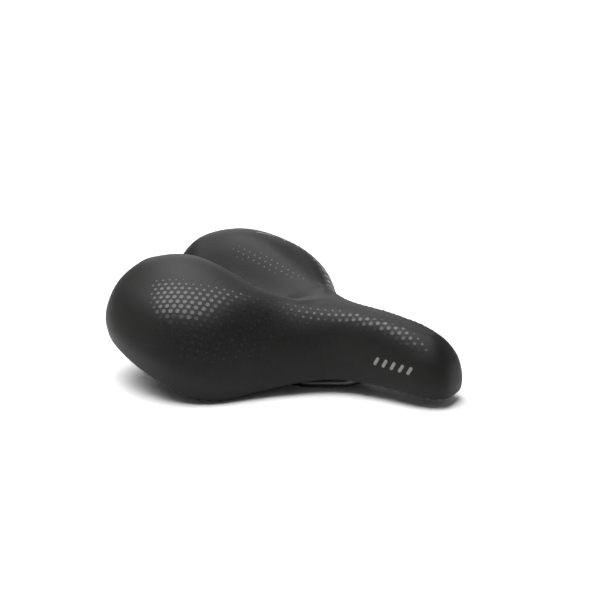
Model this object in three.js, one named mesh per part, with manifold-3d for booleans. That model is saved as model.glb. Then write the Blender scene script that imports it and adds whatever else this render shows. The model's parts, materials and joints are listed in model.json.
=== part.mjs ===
// A wide comfort bicycle saddle: a one-piece skin over moulded foam on a plastic base shell,
// carried by two steel rails on a nose pivot and two rubber dampers at the tail.
//
// Millimetres. +X points to the nose, +Y to the rider's left and +Z up. The undersides of the rails'
// straight clamp stretches lie on Z = 0, and X = Y = 0 is the middle of the whole saddle in plan.

import * as THREE from 'three';
import { LoftGeometry } from 'three/addons/geometries/LoftGeometry.js';
import { mergeVertices } from 'three/addons/utils/BufferGeometryUtils.js';
import Module from 'manifold-3d';

const wasm = await Module();
wasm.setup();

// ---- Driving dimensions ----------------------------------------------------------------------

const LENGTH = 262;
const WIDTH = 208;
const CROWN_HEIGHT = 64; // centre line of the seat above the rails' underside, at mid-length
const LOBE_RISE = 23; // how far each sitting lobe stands above the centre line's level
const NOSE_ROOM = 10.69; // from each end of the pivot pin out to the nose's outline
const GROOVE_DEPTH = 19.6;
const GROOVE_HALF_WIDTH = 18;
const CAMBER_REACH = 20; // distance from the centre line at which the camber is stated

const SKIN = 1.4;
const SHELL_WALL = 2.6;
const SHELL_CORNER = 5; // chamfer between the shell's roof and its wall
const SHELL_LOBE_RISE = 7;
const BRIM_MARGIN = 1.1; // the shell's brim stands this far inside the rolled lower edge
const HEM_GAP = 0.7; // between the hem and the brim it is folded under
const HEM_OVERHANG = 1.5; // the skin's hem ends this far past the outside of the shell's wall
const RIB_WALL = 2;
const RIB_DROP = 6; // how far the stiffening ribs reach below the lowest part of the roof they cross
const ROLL_POWER = 2.1; // 2 would be a circular shoulder

const CLEARANCE = 0.3; // between two pieces that touch
const RUNNING_CLEARANCE = 0.06; // between the pivot pin and its bore

const RAIL_DIAMETER = 7;
const RAIL_SPACING = 44;
const RAIL_FRONT_SPACING = 14;
const RAIL_REAR_SPACING = 45;
const RAIL_BEND = 9; // length of straight wire taken up on each side of a bend
const CLAMP_LENGTH = 70;
const CLAMP_FRONT_X = 18;

const PIVOT_SETBACK = 3.695; // from the nose's widest station back to the pivot
const PIVOT_DROP = 9; // from the shell's ceiling down to the pivot
const PIN_DIAMETER = 6;
const PIN_HEAD_RADIUS = 4.3;
const PIN_HEAD_THICKNESS = 1;
const EAR_WALL = 3;
const EAR_RADIUS = 7;
const BLOCK_WALL = 1.6; // nose block around each rail
const BLOCK_BEARING_RADIUS = 6.3;
const BLOCK_GRIP = 14; // how far each rail sits inside the nose block

const DAMPER_SETBACK = 40; // from the tail forward to the dampers
const DAMPER_OVERHANG = 1.22; // how far each damper's widest ring reaches over the rivet head beside it
const DAMPER_RADIUS = 12.5;
const BRIDGE_RISE = 18;
const BRIDGE_THICKNESS = 3;
const BRIDGE_HALF_DEPTH = 12;
const BRIDGE_LIP = 5;
const BOSS_RADIUS = 12.5;
const BOSS_DROP = 8;
const BOLT_DIAMETER = 6;
const BOLT_PLAY = 1; // radial room that lets the bolt swing in its guide bush
const INSERT_LENGTH = 7;
const INSERT_WALL = 1.6;
const BUSH_WALL = 1.8;
const BUSH_FLANGE = 1.2;
const WASHER_THICKNESS = 1.2;
const HEAD_HEIGHT = 4;
const HEAD_RADIUS = 5.8;
const STRAP_WALL = 1.8;
const STRAP_LENGTH = 16;
const STRAP_FOOT = 6.4;
const RIVET_DIAMETER = 4;
const RIVET_HEAD_RADIUS = 3;
const RIVET_HEAD_HEIGHT = 1.2;

const STAPLE_COUNT = 18;
const STAPLE_WIRE = 0.8;
const STAPLE_CROWN = 9;
const STAPLE_LEG = 3.2;
const STAPLE_GAP = 0.5; // below the hem, which curves a little along a staple's crown

// ---- Resolution ------------------------------------------------------------------------------

const RIBS_AROUND = 48;
const TOP_ROWS = 10;
const SIDE_ROWS = 3;
const ROOF_ROWS = 4;
const ROUND_SIDES = 20;
const SMALL_SIDES = 12;
const WIRE_SIDES = 12;
const WELD = 1e-4;

// ---- The saddle's form -----------------------------------------------------------------------

const HALF_LENGTH = LENGTH / 2;
const HALF_WIDTH = WIDTH / 2;

/** A smooth function through [station, value] pairs, with stations from -1 (tail) to 1 (nose). */
function profile(points) {
  const last = points.length - 1;
  const gaps = points.slice(1).map(([station], i) => station - points[i][0]);
  const slopes = gaps.map((gap, i) => (points[i + 1][1] - points[i][1]) / gap);
  const tangents = points.map((_, i) => {
    if (i === 0) return slopes[0];
    if (i === last) return slopes[last - 1];
    return (slopes[i - 1] * gaps[i] + slopes[i] * gaps[i - 1]) / (gaps[i - 1] + gaps[i]);
  });
  return (x) => {
    const station = THREE.MathUtils.clamp(x / HALF_LENGTH, -1, 1);
    let i = last - 1;
    while (i > 0 && station < points[i][0]) i -= 1;
    const t = (station - points[i][0]) / gaps[i];
    const start = (1 + 2 * t) * (1 - t) ** 2 * points[i][1] + t * (1 - t) ** 2 * gaps[i] * tangents[i];
    const end = t ** 2 * (3 - 2 * t) * points[i + 1][1] + t ** 2 * (t - 1) * gaps[i] * tangents[i + 1];
    return start + end;
  };
}

// Across the nose: rail, block, ear and pin, from the centre line outwards.
const railRadius = RAIL_DIAMETER / 2;
const railCorner = railRadius / Math.cos(Math.PI / WIRE_SIDES);
const railHole = railCorner + CLEARANCE;
const blockRearHalfWidth = RAIL_FRONT_SPACING / 2 + railHole + BLOCK_WALL;
const tongueHalfWidth = blockRearHalfWidth - EAR_WALL - CLEARANCE - BLOCK_WALL / 2;
const earInner = tongueHalfWidth + CLEARANCE;
const earOuter = earInner + EAR_WALL;
const pinHalfLength = earOuter + CLEARANCE + PIN_HEAD_THICKNESS;
const noseShare = (pinHalfLength + NOSE_ROOM) / HALF_WIDTH;

// Plan: half of the outline, nose tip to tail, as shares of the half length and half width.
const NOSE_WIDEST = 0.845;
const HALF_OUTLINE = [
  [1, 0],
  [0.98, 0.636 * noseShare],
  [NOSE_WIDEST, noseShare],
  [0.6, 0.9605 * noseShare],
  [0.355, 1.1053 * noseShare],
  [0.083, 0.53],
  [-0.147, 0.882],
  [-0.37, 1],
  [-0.69, 0.93],
  [-0.9, 0.745],
  [-0.985, 0.505],
  [-0.965, 0.25],
  [-0.94, 0],
];
// The seat's surface fans out from this stretch of the centre line.
const MEDIAL_TAIL_X = -0.57 * HALF_LENGTH;
const MEDIAL_NOSE_X = 0.824 * HALF_LENGTH;

// Side view: heights above the floor, or sizes, along the length.
const spineDrop = profile([[-1, -8.5], [-0.6, -4.5], [-0.23, -2], [0.15, 1.5], [0.53, 6.5], [0.84, 14], [1, 21]]);
const camber = profile([[-1, 0], [0, 0.05], [0.46, 1.4], [1, 1.2]]);
const rollWidth = profile([[-1, 38], [-0.46, 39.5], [0, 44], [0.46, 14], [1, 27]]);
const bulgeHeight = profile([[-1, 50], [-0.46, 36], [0, 14.5], [0.46, 20], [1, 16]]);
const rimHeight = profile([[-1, 30], [-0.84, 29], [-0.53, 18.5], [-0.15, 2.5], [0.23, 9.8], [0.61, 10.5], [1, 6.6]]);
const tuckWidth = profile([[-1, 7], [-0.4, 5], [0, 4], [0.4, 3], [1, 3]]);
const padDepth = profile([[-1, 27], [-0.46, 23], [0, 20], [0.46, 17.5], [1, 17.5]]);
const brimWidth = profile([[-1, 8], [0, 7], [0.35, 3], [1, 3]]);

const LOBE = {
  x: -0.53 * HALF_LENGTH,
  y: 0.404 * HALF_WIDTH,
  length: 0.405 * HALF_LENGTH,
  breadth: 0.344 * HALF_WIDTH,
};
const GROOVE = { x: -0.46 * HALF_LENGTH, halfLength: 0.46 * HALF_LENGTH };

const square = (value) => value * value;

/** The two sitting lobes, 1 at their tops and smooth across the centre line. */
function lobes(x, y) {
  const along = square((x - LOBE.x) / LOBE.length);
  const left = square((y - LOBE.y) / LOBE.breadth);
  const right = square((y + LOBE.y) / LOBE.breadth);
  return Math.exp(-along - left) + Math.exp(-along - right);
}

/** The relief channel along the centre line, 1 at its deepest. */
function groove(x, y) {
  const along = square(square((x - GROOVE.x) / GROOVE.halfLength));
  return Math.exp(-along - square(y / GROOVE_HALF_WIDTH));
}

/** Height of the seat's upper surface, before its edges roll over. */
function seatHeight(x, y) {
  const crown = CROWN_HEIGHT - spineDrop(x) - camber(x) * square(y / CAMBER_REACH);
  return crown + LOBE_RISE * lobes(x, y) - GROOVE_DEPTH * groove(x, y);
}

/** Height of the top of the base shell's roof. */
function roofHeight(x, y) {
  return CROWN_HEIGHT - spineDrop(x) - padDepth(x) + SHELL_LOBE_RISE * lobes(x, y);
}

const ceilingHeight = (x, y) => roofHeight(x, y) - SHELL_WALL;
const brimBottom = (x) => rimHeight(x) + SKIN + HEM_GAP;

const outlineCurve = new THREE.CatmullRomCurve3(
  [...HALF_OUTLINE, ...HALF_OUTLINE.slice(1, -1).reverse().map(([x, y]) => [x, -y])].map(
    ([x, y]) => new THREE.Vector3(x * HALF_LENGTH, y * HALF_WIDTH, 0),
  ),
  true,
);
outlineCurve.arcLengthDivisions = 800;

/** The line that runs inwards from the outline at `turn` (0 and 1 at the nose) to the centre line. */
function ribAt(turn) {
  const left = turn <= 0.5;
  const edge = outlineCurve.getPointAt(left ? turn : 1 - turn);
  const medialX = THREE.MathUtils.clamp(edge.x, MEDIAL_TAIL_X, MEDIAL_NOSE_X);
  const side = left ? 1 : -1;
  const start = new THREE.Vector2(edge.x, edge.y * side);
  const inward = new THREE.Vector2(medialX, 0).sub(start);
  const reach = inward.length();
  inward.normalize();
  const tangent = outlineCurve.getTangentAt(left ? turn : 1 - turn);
  const squareness = Math.abs(inward.x * tangent.y * side - inward.y * tangent.x);
  // A rib that meets the outline at a slant runs further to reach the same distance from it.
  return { start, inward, reach, stretch: 1 / Math.max(squareness, 0.6) };
}

const tuckInset = (rib) => tuckWidth(rib.start.x) * rib.stretch;
const brimEdge = (rib) => tuckInset(rib) + BRIM_MARGIN * rib.stretch;
const wallInset = (rib) => brimEdge(rib) + brimWidth(rib.start.x) * rib.stretch;
const innerWallInset = (rib) => wallInset(rib) + SHELL_WALL * rib.stretch;

const ribs = Array.from({ length: RIBS_AROUND }, (_, i) => ribAt(i / RIBS_AROUND));

/** The point at distance `inset` along a rib and height `z`. */
function spot(rib, inset, z = 0) {
  return new THREE.Vector3(rib.start.x + rib.inward.x * inset, rib.start.y + rib.inward.y * inset, z);
}

// A section is a list of Vector2(inset from the outline, height), from the centre line outwards.

/** The skin's outer face: crown, rolled shoulder, side, and the lower edge where the hem starts. */
function outerSection(rib) {
  const bulge = bulgeHeight(rib.start.x);
  const rim = rimHeight(rib.start.x);
  const tuck = tuckInset(rib);
  const roll = Math.min(rollWidth(rib.start.x), 0.98 * rib.reach);
  const section = [];
  for (let row = 0; row <= TOP_ROWS; row += 1) {
    const inset = rib.reach * Math.max(0, Math.cos((row / TOP_ROWS) * (Math.PI / 2))) ** 1.3;
    const place = spot(rib, inset);
    const rise = (1 - (1 - Math.min(inset / roll, 1)) ** ROLL_POWER) ** (1 / ROLL_POWER);
    section.push(new THREE.Vector2(inset, bulge + (seatHeight(place.x, place.y) - bulge) * rise));
  }
  for (let row = 1; row <= SIDE_ROWS; row += 1) {
    const angle = (row / SIDE_ROWS) * (Math.PI / 2);
    section.push(new THREE.Vector2(tuck * (1 - Math.cos(angle)), bulge + (rim - bulge) * Math.sin(angle)));
  }
  return section;
}

/** The base shell's outer face: roof, wall, and the brim that turns outwards. */
function shellOuterSection(rib) {
  const wall = wallInset(rib);
  const edge = brimEdge(rib);
  const bottom = brimBottom(rib.start.x);
  const section = [];
  for (let row = 0; row <= ROOF_ROWS; row += 1) {
    const inset = THREE.MathUtils.lerp(rib.reach, wall + SHELL_CORNER, row / ROOF_ROWS);
    const place = spot(rib, inset);
    section.push(new THREE.Vector2(inset, roofHeight(place.x, place.y)));
  }
  const corner = spot(rib, wall);
  section.push(new THREE.Vector2(wall, roofHeight(corner.x, corner.y) - SHELL_CORNER));
  section.push(new THREE.Vector2(wall, bottom + SHELL_WALL));
  section.push(new THREE.Vector2(edge, bottom + SHELL_WALL));
  section.push(new THREE.Vector2(edge, bottom));
  return section;
}

/** One ring of points around the saddle for each point of the section, from the centre line outwards. */
function ringsOf(sectionOf) {
  const sections = ribs.map(sectionOf);
  return sections[0].map((_, row) => ribs.map((rib, i) => spot(rib, sections[i][row].x, sections[i][row].y)));
}

/** Rings moved towards the inside of their body by `distance`; the first, on the centre line, goes straight down. */
function offsetRings(rings, distance) {
  const inwardAt = (row, i, from, to) => {
    const around = new THREE.Vector3().subVectors(
      rings[row][(i + 1) % RIBS_AROUND],
      rings[row][(i + RIBS_AROUND - 1) % RIBS_AROUND],
    );
    const step = new THREE.Vector3().subVectors(rings[to][i], rings[from][i]);
    return around.cross(step).normalize();
  };
  return rings.map((ring, row) => ring.map((point, i) => {
    if (row === 0) return point.clone().add(new THREE.Vector3(0, 0, -distance));
    const before = inwardAt(row, i, row - 1, row);
    const after = row === rings.length - 1 ? before : inwardAt(row, i, row, row + 1);
    const middle = before.clone().add(after).normalize();
    return point.clone().addScaledVector(middle, distance / Math.max(middle.dot(before), 0.6));
  }));
}

// ---- Solids ----------------------------------------------------------------------------------

/** A closed geometry as a solid that can be joined and cut. */
function solid(geometry) {
  const bare = new THREE.BufferGeometry().copy(geometry);
  bare.deleteAttribute('normal');
  bare.deleteAttribute('uv');
  const welded = mergeVertices(bare, WELD);
  const corners = welded.index.array;
  const position = welded.attributes.position;
  const [a, b, c] = [new THREE.Vector3(), new THREE.Vector3(), new THREE.Vector3()];
  const triangles = [];
  let volume = 0;
  for (let i = 0; i < corners.length; i += 3) {
    const [ia, ib, ic] = corners.slice(i, i + 3);
    if (ia === ib || ib === ic || ic === ia) continue;
    triangles.push([ia, ib, ic]);
    a.fromBufferAttribute(position, ia);
    b.fromBufferAttribute(position, ib);
    c.fromBufferAttribute(position, ic);
    volume += a.dot(b.cross(c));
  }
  const outward = volume > 0 ? triangles : triangles.map(([ia, ib, ic]) => [ia, ic, ib]);
  const mesh = new wasm.Mesh({
    numProp: 3,
    vertProperties: Float32Array.from(position.array),
    triVerts: Uint32Array.from(outward.flat()),
  });
  return new wasm.Manifold(mesh);
}

/** The geometry of a finished solid. */
function geometryOf(body) {
  const mesh = body.getMesh();
  const geometry = new THREE.BufferGeometry();
  geometry.setAttribute('position', new THREE.BufferAttribute(Float32Array.from(mesh.vertProperties), 3));
  geometry.setIndex(new THREE.BufferAttribute(Uint32Array.from(mesh.triVerts), 1));
  geometry.computeVertexNormals();
  return geometry;
}

/** Lofts through rings into a solid whose first and last rings close on the centre line. */
const layer = (rings) => solid(new LoftGeometry(rings));

/** A box given by its lowest and highest corners. */
function block(low, high) {
  const size = high.map((value, i) => value - low[i]);
  const box = new THREE.BoxGeometry(...size);
  return solid(box.translate(...high.map((value, i) => (value + low[i]) / 2)));
}

const AXIS_TURNS = {
  x: new THREE.Matrix4().makeRotationZ(-Math.PI / 2),
  y: new THREE.Matrix4(),
  z: new THREE.Matrix4().makeRotationX(Math.PI / 2),
};

/** A round bar along an axis. `radius` is to its flats when `toFlats` is set, and to its edges otherwise. */
function bar(axis, centre, radius, length, sides = ROUND_SIDES, toFlats = false) {
  const corner = toFlats ? radius / Math.cos(Math.PI / sides) : radius;
  const cylinder = new THREE.CylinderGeometry(corner, corner, length, sides);
  cylinder.applyMatrix4(AXIS_TURNS[axis]);
  return solid(cylinder.translate(...centre));
}

/** A turned piece about +Z, from a closed list of [radius, height] points. */
function turned(points, sides = ROUND_SIDES) {
  const outline = [...points, points[0]].map(([radius, height]) => new THREE.Vector2(radius, height));
  const lathe = new THREE.LatheGeometry(outline, sides);
  return solid(lathe.applyMatrix4(AXIS_TURNS.z));
}

/** A flat plate from a shape in plan, between two heights. */
function plate(shape, bottom, top) {
  const extruded = new THREE.ExtrudeGeometry(shape, {
    depth: top - bottom,
    bevelEnabled: false,
    curveSegments: SMALL_SIDES,
  });
  return solid(extruded.translate(0, 0, bottom));
}

const join = (bodies) => bodies.reduce((whole, body) => whole.add(body));
const cut = (body, tools) => tools.reduce((rest, tool) => rest.subtract(tool), body);

// ---- Materials -------------------------------------------------------------------------------

const finish = (color, roughness, metalness = 0) => new THREE.MeshStandardMaterial({ color, roughness, metalness });

const SKIN_FINISH = finish(0x2b2b2a, 0.55);
const FOAM_FINISH = finish(0x8b8f86, 0.95);
const SHELL_FINISH = finish(0x1b1c1d, 0.5);
const RAIL_FINISH = finish(0x151617, 0.3, 0.6);
const BLOCK_FINISH = finish(0x202122, 0.55);
const RUBBER_FINISH = finish(0x26282a, 0.8);
const ZINC_FINISH = finish(0xb9bcbf, 0.35, 0.9);
const BRASS_FINISH = finish(0xb08d4a, 0.35, 0.9);
const NYLON_FINISH = finish(0xd9d6cc, 0.6);

const saddle = new THREE.Group();
const undercarriage = new THREE.Group();
const seat = new THREE.Group();
saddle.add(undercarriage, seat);

/** Adds a named piece to a group, with its geometry's origin at `position`. */
function piece(group, name, body, material, position = [0, 0, 0]) {
  const mesh = new THREE.Mesh(geometryOf(body), material);
  mesh.name = name;
  mesh.position.set(...position);
  group.add(mesh);
}

const SIDES = [['left', 1], ['right', -1]];

// ---- Places shared by several pieces ---------------------------------------------------------

const pivotX = NOSE_WIDEST * HALF_LENGTH - PIVOT_SETBACK;
const pivotZ = ceilingHeight(pivotX, 0) - PIVOT_DROP;
const pinRadius = PIN_DIAMETER / 2;
const blockStep = EAR_RADIUS + BLOCK_WALL;
const damperX = DAMPER_SETBACK - HALF_LENGTH;
const strapInner = railHole;
const strapOuter = strapInner + STRAP_WALL;
const rivetY = strapOuter + CLEARANCE + STRAP_FOOT / 2;
const damperY = RAIL_REAR_SPACING / 2 + rivetY + RIVET_HEAD_RADIUS - DAMPER_OVERHANG + DAMPER_RADIUS;
const bridgeTop = BRIDGE_RISE + BRIDGE_THICKNESS;
const bossBottom = ceilingHeight(damperX, damperY) - BOSS_DROP;
const boltRadius = BOLT_DIAMETER / 2;
const bushBore = boltRadius + BOLT_PLAY;
const bushRadius = bushBore + BUSH_WALL;
const washerTop = BRIDGE_RISE - BUSH_FLANGE - 2 * CLEARANCE;
const headTop = washerTop - WASHER_THICKNESS - CLEARANCE;
const railRearZ = BRIDGE_RISE - CLEARANCE - railRadius;

// ---- Staples that hold the hem to the brim ---------------------------------------------------

/** The place and turn of each staple: its crown lies along the hem, flat on the hem's underside. */
const staplePlaces = Array.from({ length: STAPLE_COUNT }, (_, i) => {
  const hemMiddle = (turn) => {
    const rib = ribAt(turn);
    const inset = (brimEdge(rib) + innerWallInset(rib)) / 2;
    return spot(rib, inset, rimHeight(rib.start.x));
  };
  const turn = (i + 0.5) / STAPLE_COUNT;
  const nearby = 0.006;
  const along = hemMiddle(turn + nearby).sub(hemMiddle(turn - nearby)).normalize();
  const across = new THREE.Vector3(0, 0, 1).cross(along).normalize();
  const up = new THREE.Vector3().crossVectors(along, across);
  return new THREE.Matrix4().makeBasis(along, across, up).setPosition(hemMiddle(turn));
});

/** Boxes for a staple's two legs, grown by `extra` all round. */
function stapleLegs(extra) {
  const legX = (STAPLE_CROWN - STAPLE_WIRE) / 2;
  const half = STAPLE_WIRE / 2 + extra;
  return [-legX, legX].map((x) => block(
    [x - half, -half, -STAPLE_GAP - STAPLE_WIRE / 2],
    [x + half, half, STAPLE_LEG + extra],
  ));
}

const placed = (body, matrix) => solid(geometryOf(body).applyMatrix4(matrix));
const staplePockets = staplePlaces.flatMap((matrix) => stapleLegs(CLEARANCE).map((leg) => placed(leg, matrix)));
const stapleBody = join([
  block(
    [-STAPLE_CROWN / 2, -STAPLE_WIRE / 2, -STAPLE_GAP - STAPLE_WIRE],
    [STAPLE_CROWN / 2, STAPLE_WIRE / 2, -STAPLE_GAP],
  ),
  ...stapleLegs(0),
]);
staplePlaces.forEach((matrix, i) => {
  const mesh = new THREE.Mesh(geometryOf(stapleBody), ZINC_FINISH);
  mesh.name = `hem_staple_${String(i + 1).padStart(2, '0')}`;
  matrix.decompose(mesh.position, mesh.quaternion, mesh.scale);
  seat.add(mesh);
});

// ---- Skin and foam ---------------------------------------------------------------------------

const skinRings = ringsOf((rib) => {
  const hem = new THREE.Vector2(wallInset(rib) + HEM_OVERHANG, rimHeight(rib.start.x));
  return [...outerSection(rib), hem];
});
const skin = layer([...skinRings, ...offsetRings(skinRings, SKIN).reverse()]);
piece(seat, 'cover_skin', cut(skin, staplePockets), SKIN_FINISH);

const shellRings = ringsOf(shellOuterSection);
const foamOuter = offsetRings(skinRings, SKIN + CLEARANCE).slice(0, -1);
const foamInner = offsetRings(shellRings, -CLEARANCE);
foamInner.at(-1).forEach((point, i) => {
  point.z = brimBottom(ribs[i].start.x);
});
// Rings run in the same order as on the faces they lie against, so that both split their quads alike.
piece(seat, 'foam_pad', layer([...foamInner, ...foamOuter.reverse()]), FOAM_FINISH);

// ---- Base shell ------------------------------------------------------------------------------

const panInner = ringsOf((rib) => {
  const x = rib.start.x;
  const wall = innerWallInset(rib);
  const cornerRun = SHELL_CORNER + SHELL_WALL * 0.4;
  const section = [];
  for (let row = 0; row <= ROOF_ROWS; row += 1) {
    const inset = THREE.MathUtils.lerp(rib.reach, wallInset(rib) + cornerRun, row / ROOF_ROWS);
    const place = spot(rib, inset);
    section.push(new THREE.Vector2(inset, ceilingHeight(place.x, place.y)));
  }
  const corner = spot(rib, wall);
  section.push(new THREE.Vector2(wall, roofHeight(corner.x, corner.y) - SHELL_CORNER - SHELL_WALL * 0.4));
  section.push(new THREE.Vector2(wall, brimBottom(x)));
  return section;
});
const pan = layer([...shellRings, ...panInner.reverse()]);

/** Everything under the roof's outer face down to the brim: it trims what is moulded inside the shell. */
const floorRing = ringsOf((rib) => [new THREE.Vector2(rib.reach, brimBottom(rib.start.x))]);
const envelope = layer([...shellRings, ...floorRing]);

const RIB_STATIONS = [-0.5, -0.28, -0.06, 0.16, 0.4, 0.62];
const crossRibs = RIB_STATIONS.map((station) => {
  const x = station * HALF_LENGTH;
  const bottom = ceilingHeight(x, 0) - RIB_DROP;
  return block([x - RIB_WALL / 2, -HALF_WIDTH, bottom], [x + RIB_WALL / 2, HALF_WIDTH, 2 * CROWN_HEIGHT]);
});
const longRibs = SIDES.map(([, side]) => {
  const y = side * (RAIL_SPACING / 2 - RAIL_DIAMETER);
  const front = RIB_STATIONS[3] * HALF_LENGTH;
  const bottom = ceilingHeight(front, y) - RIB_DROP;
  return block([damperX, y - RIB_WALL / 2, bottom], [front, y + RIB_WALL / 2, 2 * CROWN_HEIGHT]);
});
const bosses = SIDES.map(([, side]) => bar(
  'z',
  [damperX, side * damperY, bossBottom + CROWN_HEIGHT / 2],
  BOSS_RADIUS,
  CROWN_HEIGHT,
));
const ears = SIDES.map(([, side]) => {
  const middle = side * (earInner + EAR_WALL / 2);
  const round = bar('y', [pivotX, middle, pivotZ], EAR_RADIUS, EAR_WALL);
  const web = block(
    [pivotX - EAR_RADIUS, middle - EAR_WALL / 2, pivotZ],
    [pivotX + EAR_RADIUS, middle + EAR_WALL / 2, 2 * CROWN_HEIGHT],
  );
  return round.add(web);
});
const moulded = join([...crossRibs, ...longRibs, ...bosses, ...ears]).intersect(envelope);
const insertPockets = SIDES.map(([, side]) => bar(
  'z',
  [damperX, side * damperY, bossBottom + INSERT_LENGTH / 2],
  boltRadius + CLEARANCE + INSERT_WALL + CLEARANCE,
  INSERT_LENGTH + 2 * CLEARANCE,
  SMALL_SIDES,
  true,
));
const pinHole = bar('y', [pivotX, 0, pivotZ], pinRadius + CLEARANCE, 2 * HALF_WIDTH, ROUND_SIDES, true);
const earHoles = pinHole.intersect(block(
  [pivotX - EAR_RADIUS, -earOuter - CLEARANCE, pivotZ - EAR_RADIUS],
  [pivotX + EAR_RADIUS, earOuter + CLEARANCE, pivotZ + EAR_RADIUS],
));
piece(seat, 'base_shell', cut(pan.add(moulded), [...insertPockets, earHoles, ...staplePockets]), SHELL_FINISH);

// ---- Rails -----------------------------------------------------------------------------------

/** A path whose cross-sections stay level, so a bar bent along it keeps its top and bottom faces flat. */
class LevelPath extends THREE.CurvePath {
  computeFrenetFrames(segments) {
    const frames = { tangents: [], normals: [], binormals: [] };
    for (let i = 0; i <= segments; i += 1) {
      const tangent = this.getTangentAt(i / segments).normalize();
      const across = new THREE.Vector3(0, 0, 1).cross(tangent).normalize();
      frames.tangents.push(tangent);
      frames.normals.push(across);
      frames.binormals.push(new THREE.Vector3().crossVectors(tangent, across));
    }
    return frames;
  }
}

/** Straight runs between the points, with a bend of `RAIL_BEND` on each side of the inner ones. */
function bentPath(points) {
  const path = new LevelPath();
  let start = points[0];
  points.slice(1, -1).forEach((corner, i) => {
    const before = corner.clone().add(points[i].clone().sub(corner).setLength(RAIL_BEND));
    const after = corner.clone().add(points[i + 2].clone().sub(corner).setLength(RAIL_BEND));
    path.add(new THREE.LineCurve3(start, before));
    path.add(new THREE.QuadraticBezierCurve3(before, corner, after));
    start = after;
  });
  path.add(new THREE.LineCurve3(start, points.at(-1)));
  return path;
}

/** A regular outline with a flat face at its top and its bottom. */
function wireShape(radius, sides) {
  const corner = radius / Math.cos(Math.PI / sides);
  const points = Array.from({ length: sides }, (_, i) => {
    const angle = ((i + 0.5) * 2 * Math.PI) / sides;
    return new THREE.Vector2(corner * Math.sin(angle), corner * Math.cos(angle));
  });
  return new THREE.Shape(points);
}

const RAIL_STEPS = 38;
const railEndX = pivotX - blockStep - CLEARANCE;
for (const [side, sign] of SIDES) {
  const rail = (x, spacing, z) => new THREE.Vector3(x, (sign * spacing) / 2, z);
  const path = bentPath([
    rail(railEndX, RAIL_FRONT_SPACING, pivotZ),
    rail(railEndX - BLOCK_GRIP - RAIL_BEND, RAIL_FRONT_SPACING, pivotZ),
    rail(railEndX - BLOCK_GRIP - 32, RAIL_FRONT_SPACING + 4, railRadius + 2.5),
    rail(CLAMP_FRONT_X, RAIL_SPACING, railRadius),
    rail(CLAMP_FRONT_X - CLAMP_LENGTH, RAIL_SPACING, railRadius),
    rail(CLAMP_FRONT_X - CLAMP_LENGTH - 23, RAIL_REAR_SPACING, railRearZ),
    rail(damperX - BRIDGE_HALF_DEPTH, RAIL_REAR_SPACING, railRearZ),
  ]);
  const bent = new THREE.ExtrudeGeometry(wireShape(railRadius, WIRE_SIDES), {
    steps: RAIL_STEPS,
    extrudePath: path,
  });
  piece(undercarriage, `rail_${side}`, solid(bent), RAIL_FINISH);
}

// ---- Nose block and pivot --------------------------------------------------------------------

const blockRearX = -blockStep - BLOCK_GRIP - CLEARANCE;
const noseBlock = join([
  block(
    [blockRearX, -blockRearHalfWidth, -BLOCK_BEARING_RADIUS],
    [-blockStep + CLEARANCE, blockRearHalfWidth, BLOCK_BEARING_RADIUS],
  ),
  block(
    [-blockStep, -tongueHalfWidth, -BLOCK_BEARING_RADIUS],
    [0, tongueHalfWidth, BLOCK_BEARING_RADIUS],
  ),
  bar('y', [0, 0, 0], BLOCK_BEARING_RADIUS, 2 * tongueHalfWidth),
]);
const railBores = SIDES.map(([, side]) => bar(
  'x',
  [blockRearX + (BLOCK_GRIP + CLEARANCE) / 2 - 1, (side * RAIL_FRONT_SPACING) / 2, 0],
  railHole,
  BLOCK_GRIP + CLEARANCE + 2,
  ROUND_SIDES,
  true,
));
const pinBore = bar('y', [0, 0, 0], pinRadius + RUNNING_CLEARANCE, 2 * HALF_WIDTH, ROUND_SIDES, true);
piece(undercarriage, 'nose_block', cut(noseBlock, [...railBores, pinBore]), BLOCK_FINISH, [pivotX, 0, pivotZ]);

const clipThickness = PIN_HEAD_THICKNESS * 0.8;
const pinEnd = earOuter + CLEARANCE + clipThickness;
const pivotPin = join([
  bar('y', [0, 0, 0], pinRadius, 2 * pinEnd),
  bar('y', [0, -earOuter - CLEARANCE - PIN_HEAD_THICKNESS / 2, 0], PIN_HEAD_RADIUS, PIN_HEAD_THICKNESS),
]);
piece(seat, 'pivot_pin', pivotPin, ZINC_FINISH, [pivotX, 0, pivotZ]);
const clipY = earOuter + CLEARANCE + clipThickness / 2;
const pinClip = bar('y', [0, clipY, 0], PIN_HEAD_RADIUS, clipThickness).subtract(
  bar('y', [0, clipY, 0], pinRadius + CLEARANCE, 2 * clipThickness, ROUND_SIDES, true),
);
piece(seat, 'pin_clip', pinClip, ZINC_FINISH, [pivotX, 0, pivotZ]);

// ---- Rear bridge -----------------------------------------------------------------------------

const rivetPlaces = SIDES.flatMap(([side, sign]) => [
  [`${side}_inner`, (sign * RAIL_REAR_SPACING) / 2 - sign * rivetY],
  [`${side}_outer`, (sign * RAIL_REAR_SPACING) / 2 + sign * rivetY],
]);

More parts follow.
